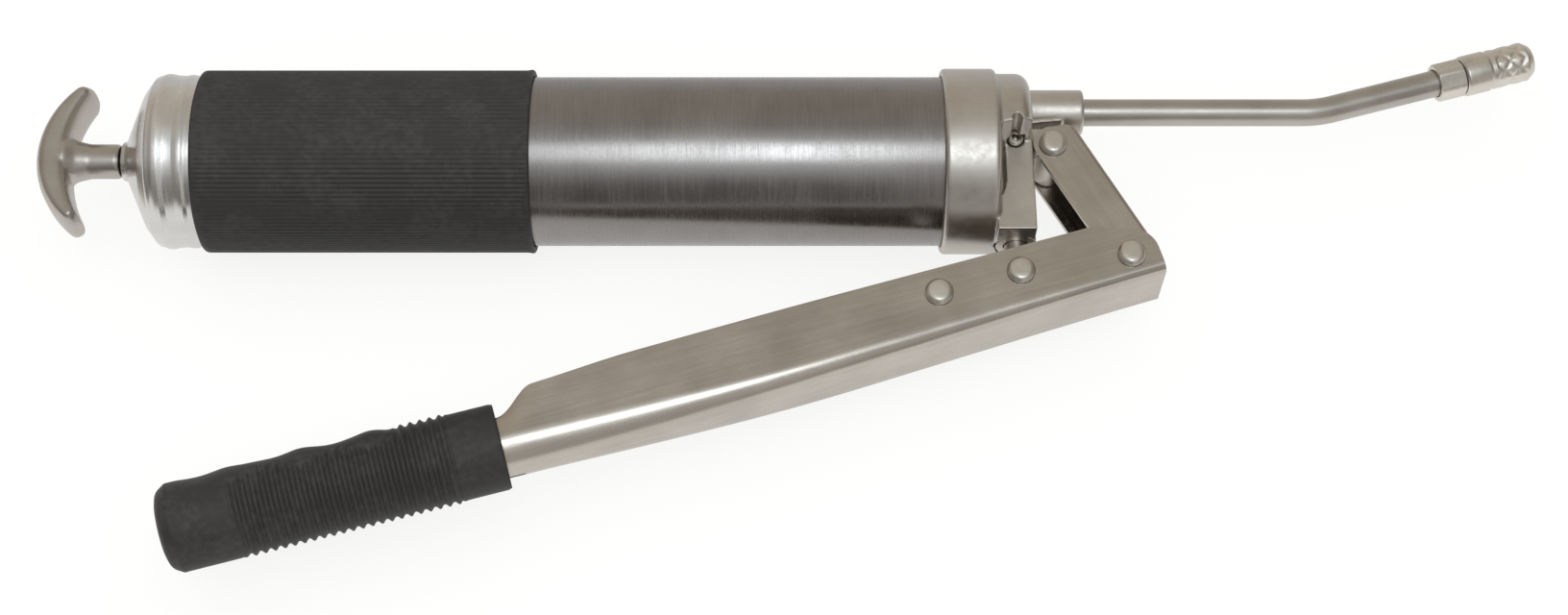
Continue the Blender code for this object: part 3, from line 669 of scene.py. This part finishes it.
def head_casting():
    """The pump head as one casting: ring, half dome, pump box, outlet boss and pivot lug."""
    ring_front = -6.5
    ring = [
        (RING_REAR, 0),
        (RING_REAR, RING_R, 1.3),
        (ring_front - 0.2, RING_R, 1.4),
        (ring_front + 0.6, RING_R - 2.2, 0.8),
        (ring_front + 0.6, 0),
    ]
    head = raw_object(revolve(rounded(ring), 192), "head_casting_shape")
    dome_front, dome_r = 4.9, 29.6
    dome = [
        (ring_front - 3, 0),
        (ring_front - 3, dome_r),
        (dome_front, dome_r, 4.4),
        (dome_front, 0),
    ]
    dome_half = raw_object(revolve(rounded(dome, 6), 192), "dome_half")
    below = [(ring_front + GAP, -40), (20, -40), (20, 4.5), (ring_front + GAP, -1.0)]
    boolean(dome_half, prism(below, -40, 40), "DIFFERENCE")
    channel = tube(12, 40, 1.5, 0, 48, at(BLEEDER.x - 0.6, BLEEDER.y - 0.2) @ ALONG_Z)
    boolean(dome_half, channel, "DIFFERENCE")
    rim_bevel(dome_half, 0.6, 50)
    pad_half, core_half = 13.5, 9.5
    dome_mesh = bmesh.new()
    dome_mesh.from_mesh(dome_half.data)
    bpy.data.objects.remove(dome_half)
    boolean(head, dome_mesh, "UNION")
    boolean(head, block((-7.5, BOX_BOTTOM + 2, -core_half), (4.0, 4.0, core_half)), "UNION")
    pad = [(-3.6, 6.5), (-3.6, -13.0)]
    pad += arc((-16.6, -13.0), 13.0, 0, -39, 10)[1:]
    pad += [(ring_front - 0.5, BOX_BOTTOM), (6.0, BOX_BOTTOM), (5.7, 6.5)]
    boolean(head, prism(pad, -pad_half, pad_half), "UNION")
    boss_r = 7.7
    boss = [(0, 0), (0, boss_r), (BOSS_FRONT, boss_r, 0.9), (BOSS_FRONT, 0)]
    boolean(head, revolve(rounded(boss), 96, at(0, OUTLET_Y)), "UNION")
    lug = arc(HEAD_PIVOT, 6.4, -150, 0, 24)
    lug += [(17.0, 5.0), (17.0, 12.9), (2.0, 11.4), (2.0, -9)]
    lug_half, rib_half = 8.4, 2.5
    boolean(head, prism(lug, -lug_half, lug_half), "UNION")
    recess = [(6.2, 8.0), (20.0, 8.0), (20.0, 11.6), (6.2, 10.2)]
    boolean(head, prism(recess, rib_half, THROUGH), "DIFFERENCE")
    boolean(head, prism(recess, -THROUGH, -rib_half), "DIFFERENCE")
    bores = [
        tube(RING_REAR - 5, -9.0, BARREL_R + GAP, 0, 192),
        tube(BOX_BOTTOM - 5, 21.0, ROD_R + GAP, 0, 64, ALONG_Y),
        tube(BOX_BOTTOM - 5, BOX_BOTTOM + 6.2, 7.1, 0, 64, ALONG_Y),
        tube(6, BOSS_FRONT + 5, 3.5, 0, 48, at(0, OUTLET_Y)),
        tube(15.1, BOSS_FRONT + 5, PIPE_R + GAP, 0, 64, at(0, OUTLET_Y)),
        tube(8.0, 17.5, 2.9, 0, 48, at(*BLEEDER) @ ALONG_Z),
    ]
    for bore in bores:
        boolean(head, bore, "DIFFERENCE")
    cast_skin(head, voxel=0.42, passes=4)
    piece(head, "head_casting", sharp=60)


def bleeder():
    """The air bleed: a bush pressed into the head and the ball that closes its mouth."""
    place = at(*BLEEDER) @ ALONG_Z
    bush = [
        (8.3, 1.7),
        (8.3, 2.6),
        (15.0, 2.6, 0.3),
        (15.4, 2.1, 0.3),
        (15.4, 1.2, 0.15),
        (14.6, 1.2),
        (13.8, 1.9),
        (9.2, 1.95),
        (9.2, 1.7),
    ]
    piece(revolve(rounded(bush), 48, place), "bleeder_bush")
    centre_z, ball_r, steps = 13.0, 1.5, 16
    ball = []
    for i in range(steps + 1):
        angle = math.pi * i / steps
        ball.append((centre_z - ball_r * math.cos(angle), ball_r * math.sin(angle)))
    ball[-1] = (centre_z + ball_r, 0)
    piece(revolve(ball, 32, place), "bleeder_ball")


def pump_plunger():
    """The plunger: a round rod whose flattened eye takes the lever's rivet with play."""
    eye_r, eye_half, hole_r = 6.3, 3.9, 3.95
    pin_y = PLUNGER_PIN.y
    body = [
        (pin_y + 3, 0),
        (pin_y + 3, ROD_R),
        (8.0, ROD_R, 0.6),
        (8.0, 0),
    ]
    shaft = raw_object(revolve(rounded(body), 64, ALONG_Y), "pump_plunger_shape")
    outline = arc((0, pin_y), eye_r, 30, -210, 32)
    outline += [(-ROD_R, pin_y + 7.5), (ROD_R, pin_y + 7.5)]
    boolean(shaft, prism(outline, -eye_half, eye_half), "UNION")
    hole = tube(-8, 8, hole_r, 0, 48, at(0, pin_y) @ ALONG_Z, 0)
    boolean(shaft, hole, "DIFFERENCE")
    piece(shaft, "pump_plunger")


# ------------------------------------------------------------------ lever and link


def toggle_link():
    """A strap folded round its outer edge, seen as two flat cheeks and a rounded web."""
    length = LINK_ALONG.length
    web = 10.3

    def bar(inset, z_half, past):
        """A bar with two rounded edges that reaches past the link on its other sides."""
        radius = 2.2 - inset
        top = web - inset
        section = [
            (-past, z_half), (top, z_half, radius), (top, -z_half, radius), (-past, -z_half)
        ]
        outline = rounded(section, 10)
        return skin([[Vector((x, y, z)) for y, z in outline] for x in (-past, length + past)])

    link = raw_object(bar(0.0, LINK_HALF_Z, 14.0), "toggle_link_shape")
    boolean(link, bar(SHEET, LINK_HALF_Z - SHEET, THROUGH), "DIFFERENCE")
    outline = arc((0, 0), 6.6, 265, 150, 24)
    outline += [(-4.2, 7.8), (-1.0, web), (-0.8, 12), (length + 0.6, 12), (length + 0.8, 9.6)]
    outline += arc((length, 0), 6.1, 20, -90, 20)
    boolean(link, prism(outline, -THROUGH, THROUGH), "INTERSECT")
    for x in (0, length):
        hole = tube(-THROUGH, THROUGH, PIN_HOLE_R, 0, 48, at(x) @ ALONG_Z)
        boolean(link, hole, "DIFFERENCE")
    rim_bevel(link, 0.25, 40)
    flat_faces(piece(link, "toggle_link", LINK))


def rivet(nodename, x, y, half, place):
    """A rivet whose heads are pressed nearly flat, with a rounded shoulder."""
    face, height, head_r = half + 0.25, 2.0, 4.7
    head = [
        (face, 3.0),
        (face, head_r, 0.2),
        (face + 0.6, head_r, 0.5),
        (face + height - 0.15, 3.6, 1.7),
        (face + height, 2.2, 1.5),
        (face + height, 0),
    ]
    far = [(-point[0], *point[1:]) for point in reversed(head)]
    bm = revolve(rounded(far + head, 14), 64, at(x, y) @ ALONG_Z)
    piece(bm, nodename, place)


def spacer_tube(x, y):
    """The tube that keeps the lever's cheeks apart at its rear rivet."""
    half, outer_r = 10.9, 4.6
    bm = tube(-half, half, outer_r, PIN_HOLE_R, 48, at(x, y) @ ALONG_Z)
    piece(bm, "spacer_tube", LEVER)


def grip_axis(x):
    """Height of the grip's axis in the lever's frame: it rises a little to the rear."""
    return mix(GRIP_AXIS_FRONT, GRIP_AXIS_REAR, (x - GRIP_FRONT) / (GRIP_REAR - GRIP_FRONT))


def lever_section(x):
    """One cross-section of the pressed lever: a channel that closes into a round tail."""
    tail = smooth_step(-x, 95, 208)
    half = mix(LEVER_HALF_Z, TAIL_R, tail)
    web = mix(WEB_Y, grip_axis(x) - TAIL_R, smooth_step(-x, -20, 196))
    corner = mix(mix(3.2, 5.6, smooth_step(-x, 0, 110)), TAIL_R, tail)
    if x > 0:
        top = math.sqrt(max(NOSE_R**2 - x**2, 0.01))
    elif x > -10:
        top = mix(NOSE_R, FOLD_Y, smooth_step(-x, 0, 10))
    else:
        shoulder = FOLD_Y - FOLD_DROP * smooth_step(-x, 165, 205)
        top = mix(shoulder, grip_axis(x) + TAIL_TOP, smooth_step(-x, 200, 213.5))
    top_half = mix(half, TAIL_TOP_HALF_Z, smooth_step(-x, 198, 214))
    low = web + corner
    height = max(top - low, 0.8)
    side = []
    for k in range(6):
        share = k / 6
        side.append((mix(top_half, half, share**0.7), low + height * (1 - share)))
    bend = arc((half - corner, low), corner, 0, -90, 12)
    flat = [((half - corner) * share, web) for share in (0.66, 0.33)]
    right = side + bend + flat
    left = [(-z, y) for z, y in reversed(right)]
    return [Vector((x, y, z)) for z, y in right + [(0, web)] + left]


def lever_arm():
    """The lever: its sections joined into a sheet, which is given its thickness inwards."""
    stations = [NOSE_R * math.sin(math.radians(a)) for a in range(88, 0, -8)]
    stations += [0, -3, -6, -10, -20] + [-20 - 6 * i for i in range(1, 29)]
    stations += [-191 - 1.0 * i for i in range(0, 26)] + [-220, -235, -255, -280, -306]
    bm = bmesh.new()
    rows = []
    for x in stations:
        rows.append([bm.verts.new(point) for point in lever_section(x)])
    for first, second in zip(rows, rows[1:]):
        for i in range(len(first) - 1):
            bm.faces.new((first[i], first[i + 1], second[i + 1], second[i]))
    bmesh.ops.recalc_face_normals(bm, faces=bm.faces)
    lever = raw_object(bm, "lever_arm_shape")
    sheet = lever.modifiers.new("sheet", "SOLIDIFY")
    sheet.thickness = SHEET
    sheet.offset = -1.0
    sheet.use_even_offset = True
    apply_modifiers(lever)
    rim_bevel(lever, 0.3, 60)
    flat_faces(piece(lever, "lever_arm", LEVER, sharp=40))


def lever_grip():
    """Rubber grip: smooth end, three finger humps on the barrel side, ribs elsewhere."""
    pitch, first_rib, last_rib = 3.152, 22.5, 95.0
    body_r, bore = 14.45, 12.8
    # Each hump or hollow: middle along the grip, height, width
    humps = ((7.0, 0.2, 3.0), (15.0, -0.4, 5.0), (24.5, 0.5, 4.5), (39.5, -0.3, 5.0))
    humps += ((48.2, 0.75, 5.0), (58.5, -0.6, 5.5), (70.5, 0.85, 4.6), (77.0, -0.5, 2.6))
    profile = [(0.0, 0.0), (0.0, 9.0, 3.0), (1.0, 12.5, 4.0), (4.4, body_r + 0.1, 4.0)]
    steps = 290
    for i in range(steps + 1):
        profile.append((mix(5.5, GRIP_LENGTH - 1.2, i / steps), body_r))
    profile += [
        (GRIP_LENGTH, 14.1, 0.7),
        (GRIP_LENGTH, bore - 1.0, 0.5),
        (GRIP_LENGTH - 4, bore - 0.2),
        (15.5, bore - 0.2),
        (15.5, 0),
    ]

    def moulded(t, angle, radius):
        """Humps where the barrel's side faces, and ribs round the rest."""
        if radius < body_r - 0.5:
            return radius
        side = abs((angle + math.pi) % (2 * math.pi) - math.pi)
        top = max(math.cos(side), 0.0) ** 1.3
        edge = math.radians(62 + 7 * math.cos(2 * math.pi * (t - 48.0) / 23.0))
        on_top = 1 - smooth_step(side, edge - 0.10, edge + 0.10)
        on_top *= 1 - smooth_step(t, 77.5, 80.0)
        ribbed = smooth_step(t, first_rib - 0.5, first_rib + 4.0)
        ribbed *= 1 - smooth_step(t, last_rib - 0.8, last_rib + 0.4)
        wave = 0.5 - 0.5 * math.cos(2 * math.pi * (t - first_rib) / pitch)
        rib = -0.8 + 1.15 * wave**1.2
        hump = sum(h * math.exp(-(((t - m) / w) ** 2)) for m, h, w in humps)
        collar = -0.3 * smooth_step(t, 94.0, 97.0)
        return radius + ribbed * (1 - on_top) * rib + top * on_top * hump + collar

    rear = Vector((GRIP_REAR, grip_axis(GRIP_REAR), 0))
    tilt = math.atan2(grip_axis(GRIP_FRONT) - rear.y, GRIP_LENGTH)
    place = LEVER @ Matrix.Translation(rear) @ Matrix.Rotation(tilt, 4, "Z")
    piece(revolve(rounded(profile), 144, None, moulded), "lever_grip", place, sharp=70)


# ------------------------------------------------------------------ outlet


def spout_frames():
    """Frames along the spout's centre line: straight, round its bend, straight."""
    washer = centre("coupler_washer") - PUMP
    bend_y = OUTLET_Y + PIPE_BEND_R
    turn = Matrix.Rotation(SPOUT_ANGLE, 4, "Z")
    drop = PIPE_BEND_R * (1 - math.cos(SPOUT_ANGLE))
    run = (washer.y - OUTLET_Y - drop) / math.sin(SPOUT_ANGLE)
    end = washer - SPOUT * run
    bend_x = end.x - PIPE_BEND_R * math.sin(SPOUT_ANGLE)
    frames = [at(bend_x, OUTLET_Y)]
    steps = 24
    for i in range(1, steps + 1):
        bend = Matrix.Rotation(SPOUT_ANGLE * i / steps, 4, "Z")
        frames.append(at(bend_x, bend_y) @ bend @ at(0, -PIPE_BEND_R))
    coupler = Matrix.Translation(washer) @ turn @ at(-WASHER_AT)
    return frames, coupler


def ring_on(place, radius, sides):
    """A circle round a frame's X axis."""
    ring = []
    for k in range(sides):
        angle = 2 * math.pi * k / sides
        ring.append(place @ Vector((0, radius * math.cos(angle), radius * math.sin(angle))))
    return ring


def extension_pipe():
    """The spout: a bent pipe from the head's boss into the coupler."""
    frames, coupler = spout_frames()
    rear = span("extension_pipe", 0)[0]
    frames = [at(rear, OUTLET_Y), at(BOSS_FRONT, OUTLET_Y)] + frames + [coupler @ at(PIPE_SEAT)]
    outside = [ring_on(place, PIPE_R, 64) for place in frames]
    inside = [ring_on(place, PIPE_BORE_R, 64) for place in reversed(frames)]
    piece(skin(outside + inside, closed=True), "extension_pipe", look="satin_nickel")


def coupler():
    """Hexagon-backed coupler body and a sliding sleeve with a coarse knurl on its nose."""
    place = spout_frames()[1]
    body = [
        (0.0, PIPE_R + GAP),
        (0.0, 6.5, 0.6),
        (9.2, 6.5, 0.4),
        (9.2, 4.4),
        (13.2, 4.4),
        (13.2, 1.3),
        (6.3, 1.3),
        (6.3, PIPE_R + GAP),
    ]

    def hexagon(x, angle, radius):
        if radius < 5.6:
            return radius
        side = (angle + math.pi / 6) % (math.pi / 3) - math.pi / 6
        return min(radius, 5.95 / math.cos(side))

    piece(revolve(rounded(body), 96, None, hexagon), "coupler_body", place)
    bore, outer, nose = 4.7, 6.95, 6.75
    sleeve = [
        (9.5, bore),
        (9.5, outer, 1.2),
        (18.2, outer, 0.5),
        (18.9, outer - 0.5, 0.3),
        (19.5, outer - 0.5, 0.3),
        (20.2, nose, 0.3),
    ]
    knurl_rear, knurl_front, knurl_depth, steps = 20.2, 31.6, 0.28, 44
    for i in range(1, steps):
        sleeve.append((mix(knurl_rear, knurl_front, i / steps), nose))
    sleeve += [
        (32.0, nose, 1.5),
        (34.6, 5.0, 1.0),
        (34.6, 3.8, 0.3),
        (32.8, 3.8),
        (31.4, bore + 0.4),
        (23.2, bore + 0.4),
        (23.2, bore),
    ]

    def knurled(x, angle, radius):
        if radius < nose - 0.01 or not 20.4 < x < 31.8:
            return radius
        share = smooth_step(x, 20.4, 21.2) * (1 - smooth_step(x, 31.0, 31.8))
        along = math.pi * (x - knurl_rear) / 5.6
        one = math.cos(3.5 * angle + along)
        two = math.cos(3.5 * angle - along)
        return radius - knurl_depth * share * max(abs(one), abs(two)) ** 5

    piece(revolve(rounded(sleeve), 168, None, knurled), "coupler_sleeve", place, sharp=50)


# ------------------------------------------------------------------ inside pieces


def coil(nodename, radius, wire, start, length, turns, place):
    """A helical spring along X with its end turns closed up."""
    steps, sides = turns * 40, 12
    rings = []
    for i in range(steps + 1):
        share = i / steps
        angle = 2 * math.pi * turns * share
        x = start + wire + (length - 2 * wire) * smooth_step(share, -0.05, 1.05)
        arm = Vector((0, math.cos(angle), math.sin(angle)))
        ring = []
        for k in range(sides):
            around = 2 * math.pi * k / sides
            ring.append(
                Vector((x + wire * math.sin(around), 0, 0))
                + arm * (radius + wire * math.cos(around))
            )
        rings.append(ring)
    spring = piece(skin(rings), nodename, place)
    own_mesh(spring)


def follower_spring():
    """The long spring in the barrel, made at rest length; the real one closes up as the handle is pulled."""
    start = BARREL_REAR + 0.5
    end = span("follower_rear_disc", 0)[0] - GAP
    coil(
        "follower_spring", 16.0, 1.1, start, end - start, 11, None,
    )


def valve_spring(nodename, place, length, radius, wire, turns):
    """A small spring on place's X axis, made at rest length; the real one shortens as its valve or seal moves."""
    coil(nodename, radius, wire, 0, length, turns, place)


def valve_springs():
    """The springs behind the outlet ball, the bleeder ball and the coupler's seal."""
    low, high = span("check_spring", 0)
    check = at(low, OUTLET_Y)
    valve_spring("check_spring", check, high - low, 2.4, 0.3, 4)
    bleed = at(*BLEEDER) @ ALONG_Z @ at(span("bleeder_spring", 2)[0])
    valve_spring("bleeder_spring", bleed, 2.0, 1.1, 0.22, 3)
    nose = spout_frames()[1] @ at(SPRING_AT)
    valve_spring("coupler_spring", nose, 5.4, 3.2, 0.4, 3)


def inside_nodes():
    """Pieces that no outside view shows keep their CAD shape and get their finish."""
    for name, obj in frame["nodes"].items():
        if obj.hide_render:
            continue
        obj.data.materials.clear()
        obj.data.materials.append(LOOKS[SLOTS[name]])


# ------------------------------------------------------------------ stage


def floor():
    """White table, whose own glow hides all but faint shadows; metal sees it darker."""
    size = 6.0
    bm = bmesh.new()
    bmesh.ops.create_grid(bm, x_segments=8, y_segments=8, size=size)
    obj = raw_object(bm, "floor")
    obj.location = (0, 0, cad_box[0].z)
    made, tree, shader = new_material("floor_paper", 0.0)
    coords = object_coords(tree)
    clouds = noise(tree, coords, 2.0, 3.0)
    paper = blend_colours(tree, clouds, (0.16, 0.16, 0.16), (0.18, 0.18, 0.178))
    tree.links.new(paper, shader.inputs["Base Color"])
    shader.inputs["Roughness"].default_value = 0.85
    shader.inputs["Specular IOR Level"].default_value = 0.0
    y = node(tree, "ShaderNodeSeparateXYZ", {0: coords}).outputs["Y"]
    seen = node(tree, "ShaderNodeLightPath").outputs["Is Camera Ray"]
    camera_glow, metal_glow, darker_behind = 0.84, 0.66, 0.28
    behind = spread(tree, y, 0.0, 1.0, 0.07, 0.17)
    fall = maths(tree, "MULTIPLY", behind, darker_behind)
    reflected = maths(tree, "SUBTRACT", metal_glow, fall)
    glow = tree.nodes.new("ShaderNodeMix")
    tree.links.new(seen, glow.inputs[0])
    tree.links.new(reflected, glow.inputs[2])
    glow.inputs[3].default_value = camera_glow
    shader.inputs["Emission Color"].default_value = (1.0, 1.0, 0.992, 1.0)
    tree.links.new(glow.outputs[0], shader.inputs["Emission Strength"])
    obj.data.materials.append(made)


def fill_light(height, size, power):
    """A large soft light straight above, which metal doesn't reflect."""
    data = bpy.data.lights.new("fill", "AREA")
    data.shape = "RECTANGLE"
    data.size = data.size_y = size
    data.energy = power
    obj = bpy.data.objects.new("fill", data)
    bpy.context.scene.collection.objects.link(obj)
    obj.location = (0, 0, height)
    obj.visible_glossy = False
    obj.visible_camera = False


def colour_ramp(tree, value, low, high, stops):
    """Smooth colours along a value: stops are (value, colour) pairs between low and high."""
    share = spread(tree, value, 0.0, 1.0, low, high)
    ramp = node(tree, "ShaderNodeValToRGB", {"Fac": share})
    ramp.color_ramp.interpolation = "EASE"
    elements = ramp.color_ramp.elements
    while len(elements) < len(stops):
        elements.new(0.5)
    for element, (place, colour) in zip(elements, stops):
        element.position = (place - low) / (high - low)
        element.color = (*colour, 1.0)
    return ramp.outputs[0]


def product(tree, first, second):
    inputs = {0: first, 1: second}
    return node(tree, "ShaderNodeVectorMath", inputs, operation="MULTIPLY").outputs[0]


# The room's light: by the angle in degrees from straight up towards the lever's side, and
# then, as a factor, by how far the direction points along X.
ROOM = (
    (-110, (0.54, 0.51, 0.47)),
    (-90, (0.52, 0.475, 0.42)),
    (-55, (0.475, 0.43, 0.375)),
    (-25, (0.47, 0.44, 0.395)),
    (-5, (0.46, 0.455, 0.44)),
    (30, (0.42, 0.42, 0.41)),
    (50, (0.28, 0.275, 0.27)),
    (70, (0.19, 0.183, 0.178)),
    (84, (0.16, 0.152, 0.146)),
    (94, (0.58, 0.58, 0.57)),
)
SOFTBOX = (
    (-24, (0.0, 0.0, 0.0)),
    (-3, (0.10, 0.11, 0.115)),
    (11, (0.98, 1.06, 1.12)),
    (18, (0.98, 1.06, 1.12)),
    (33, (0.16, 0.17, 0.18)),
    (60, (0.0, 0.0, 0.0)),
)
ROOM_ENDS = (
    (-1.0, (0.60, 0.58, 0.56)),
    (-0.55, (0.95, 0.93, 0.91)),
    (-0.3, (1.12, 1.12, 1.12)),
    (-0.15, (1.0, 1.0, 1.0)),
    (0.3, (1.0, 1.0, 1.0)),
    (0.6, (0.6, 0.57, 0.54)),
    (1.0, (0.4, 0.37, 0.35)),
)
SOFTBOX_ENDS = (
    (-0.7, (0.03, 0.03, 0.03)),
    (-0.26, (0.03, 0.03, 0.03)),
    (-0.17, (0.10, 0.10, 0.10)),
    (-0.08, (1.4, 1.4, 1.4)),
    (0.01, (2.9, 2.9, 2.9)),
    (0.085, (5.6, 5.6, 5.6)),
    (0.115, (2.2, 2.2, 2.2)),
    (0.16, (0.5, 0.5, 0.5)),
    (0.3, (0.4, 0.4, 0.4)),
    (0.6, (0.1, 0.1, 0.1)),
)
# Right of the object the dark front of the room gives way to a light wall.
SIDE_WALL = ((0.10, (0.0, 0.0, 0.0)), (0.24, (0.34, 0.32, 0.30)), (0.6, (0.20, 0.19, 0.18)))


def studio():
    """Room round the table: a softbox overhead, grey behind, dark in front of the table."""
    world = bpy.data.worlds.new("studio")
    bpy.context.scene.world = world
    world.use_nodes = True
    tree = world.node_tree
    tree.nodes.clear()
    direction = node(tree, "ShaderNodeTexCoord").outputs["Generated"]
    parts = node(tree, "ShaderNodeSeparateXYZ", {0: direction}).outputs
    forward = maths(tree, "MULTIPLY", parts["Y"], -1.0)
    turn = maths(tree, "MULTIPLY", maths(tree, "ARCTAN2", forward, parts["Z"]), 180 / math.pi)
    room = colour_ramp(tree, turn, -180, 180, ROOM)
    room = product(tree, room, colour_ramp(tree, parts["X"], -1, 1, ROOM_ENDS))
    box = colour_ramp(tree, turn, -180, 180, SOFTBOX)
    box = product(tree, box, colour_ramp(tree, parts["X"], -1, 1, SOFTBOX_ENDS))
    front = colour_ramp(tree, turn, -180, 180, ((28, (0, 0, 0)), (55, (1, 1, 1))))
    wall = product(tree, front, colour_ramp(tree, parts["X"], -1, 1, SIDE_WALL))
    light = node(tree, "ShaderNodeVectorMath", {0: room, 1: box}).outputs[0]
    light = node(tree, "ShaderNodeVectorMath", {0: light, 1: wall}).outputs[0]
    lit = node(tree, "ShaderNodeBackground", {"Color": light, "Strength": 1.0})
    plain = node(tree, "ShaderNodeBackground", {"Color": (0.985, 0.985, 0.978, 1)})
    rays = node(tree, "ShaderNodeLightPath").outputs["Is Camera Ray"]
    mixed = node(tree, "ShaderNodeMixShader", {0: rays, 1: lit.outputs[0], 2: plain.outputs[0]})
    node(tree, "ShaderNodeOutputWorld", {"Surface": mixed.outputs[0]})
    fill_light(height=1.6, size=3.0, power=30)


def camera():
    """The view, tilted 25 degrees from straight down."""
    data = bpy.data.cameras.new("camera")
    data.sensor_width = 36.0
    data.lens = 61.1
    data.shift_x = 0.0159
    obj = bpy.data.objects.new("camera", data)
    bpy.context.scene.collection.objects.link(obj)
    from_pump = Vector((-85.5, -425.0, 794.8))
    obj.location = (PUMP + from_pump) * MM
    obj.rotation_euler = (math.radians(25), 0, 0)
    bpy.context.scene.camera = obj


def colour_management():
    view = bpy.context.scene.view_settings
    view.view_transform = "Standard"
    view.look = "None"
    view.exposure = 0.0
    view.gamma = 1.0


barrel_tube()
barrel_sleeve()
rear_cap()
pull_handle()
head_casting()
bleeder()
pump_plunger()
toggle_link()
rivet("link_rivet", *HEAD_PIVOT, LINK_HALF_Z, None)
lever_arm()
lever_grip()
pin = LEVER.inverted() @ Vector((*PLUNGER_PIN, 0))
spacer = LEVER.inverted() @ Vector((*SPACER_PIN, 0))
rivet("lever_rivet", 0, 0, LEVER_HALF_Z, LEVER)
rivet("plunger_rivet", pin.x, pin.y, LEVER_HALF_Z, LEVER)
rivet("spacer_rivet", spacer.x, spacer.y, LEVER_HALF_Z, LEVER)
spacer_tube(spacer.x, spacer.y)
extension_pipe()
coupler()
follower_spring()
valve_springs()
inside_nodes()
floor()
studio()
camera()
colour_management()
